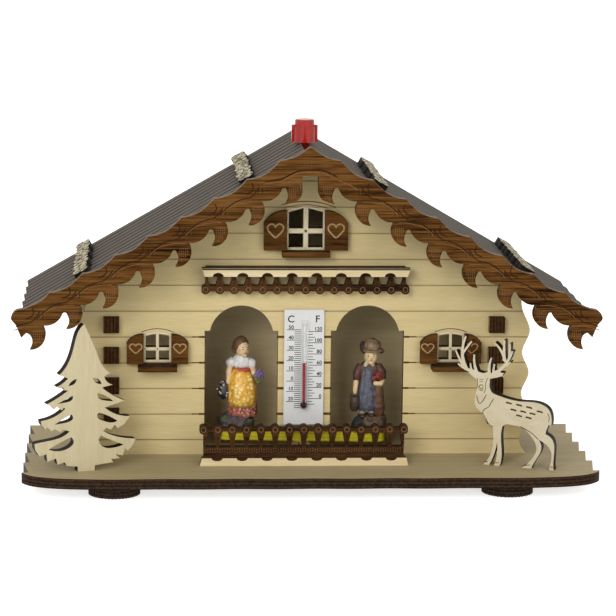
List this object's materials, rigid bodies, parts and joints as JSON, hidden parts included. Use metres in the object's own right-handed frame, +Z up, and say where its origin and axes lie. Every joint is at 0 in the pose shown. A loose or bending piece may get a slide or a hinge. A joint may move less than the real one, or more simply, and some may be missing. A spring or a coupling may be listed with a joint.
{
  "type": "weather house",
  "caption": "Plywood chalet weather house with a scrolled gable: figures on a gut-hung beam swing out of arched doorways either side of a card thermometer.",
  "frame": {"origin": "middle of the outer box in plan, on the surface the feet stand on", "axes": "+X along the front, to the right seen from the front; +Y from the front to the back; +Z up"},
  "size_m": [0.2218, 0.0997, 0.1375],
  "materials": {
    "base_wood": "sanded birch plywood with a dark laser-cut edge",
    "foot_wood": "dark burnt plywood disc with fine ribs",
    "wall_wood": "pale birch plywood with engraved log lines",
    "side_wood": "plywood, dark on its burnt ends",
    "roof_wood": "grey-brown stained plywood",
    "board_wood": "walnut veneer with light engraved scrolls",
    "stone_wood": "pale plywood with engraved stones and burnt edges",
    "shutter_wood": "dark brown stained veneer",
    "rail_wood": "dark brown stained veneer",
    "strip_wood": "pale plywood with a burnt edge",
    "scale_card": "printed white card",
    "tube_glass": "clear glass tube with a bulb",
    "column_liquid": "dyed spirit column",
    "ornament_wood": "pale plywood with a dark laser-cut edge",
    "knob_plastic": "glossy red moulding",
    "clamp_metal": "turned brass collar",
    "gut": "twisted gut string",
    "beam_paint": "yellow painted wood",
    "pin_steel": "drawn wire",
    "bush_brass": "turned brass",
    "peg_wood": "turned hardwood",
    "girl_paint": "hand-painted resin",
    "boy_paint": "hand-painted resin"
  },
  "bodies": {
    "house": {"attic_floor": "side_wood", "attic_shutters": "shutter_wood", "attic_sill": "shutter_wood", "back_wall": "wall_wood", "base_plate": "base_wood", "deer": "ornament_wood", "feet": "foot_wood", "fir_tree": "ornament_wood", "front_bargeboard": "board_wood", "front_wall": "wall_wood", "guide_bush": "bush_brass", "left_side_wall": "side_wood", "left_sill": "shutter_wood", "left_window_shutters": "shutter_wood", "lower_fence_rail": "rail_wood", "lower_fence_strip": "strip_wood", "ridge_block": "side_wood", "right_side_wall": "side_wood", "right_sill": "shutter_wood", "right_window_shutters": "shutter_wood", "roof_left": "roof_wood", "roof_right": "roof_wood", "roof_stones_left_lower": "stone_wood", "roof_stones_left_upper": "stone_wood", "roof_stones_right_lower": "stone_wood", "roof_stones_right_upper": "stone_wood", "thermometer_card": "scale_card", "thermometer_column": "column_liquid", "thermometer_tube": "tube_glass", "upper_balcony_rail": "rail_wood", "upper_balcony_strip": "strip_wood"},
    "adjuster": {"adjuster_knob": "knob_plastic", "gut_clamp": "clamp_metal", "gut_string": "gut"},
    "carrier": {"carrier_beam": "beam_paint", "carrier_hub": "beam_paint", "gut_wedge": "peg_wood", "guide_pin": "pin_steel", "figure_pegs": "peg_wood", "girl_figure": "girl_paint", "boy_figure": "boy_paint"}
  },
  "joints": [
    {"name": "adjuster_turn", "type": "hinge", "parent": "house", "child": "adjuster", "pos_m": [0, 0.0042, 0.13], "axis": [0, 0, 1], "range_deg": [-8, 8]},
    {"name": "carrier_swing", "type": "hinge", "parent": "adjuster", "child": "carrier", "pos_m": [0, 0.0042, 0.0134], "axis": [0, 0, 1], "range_deg": [-18, 26]}
  ]
}
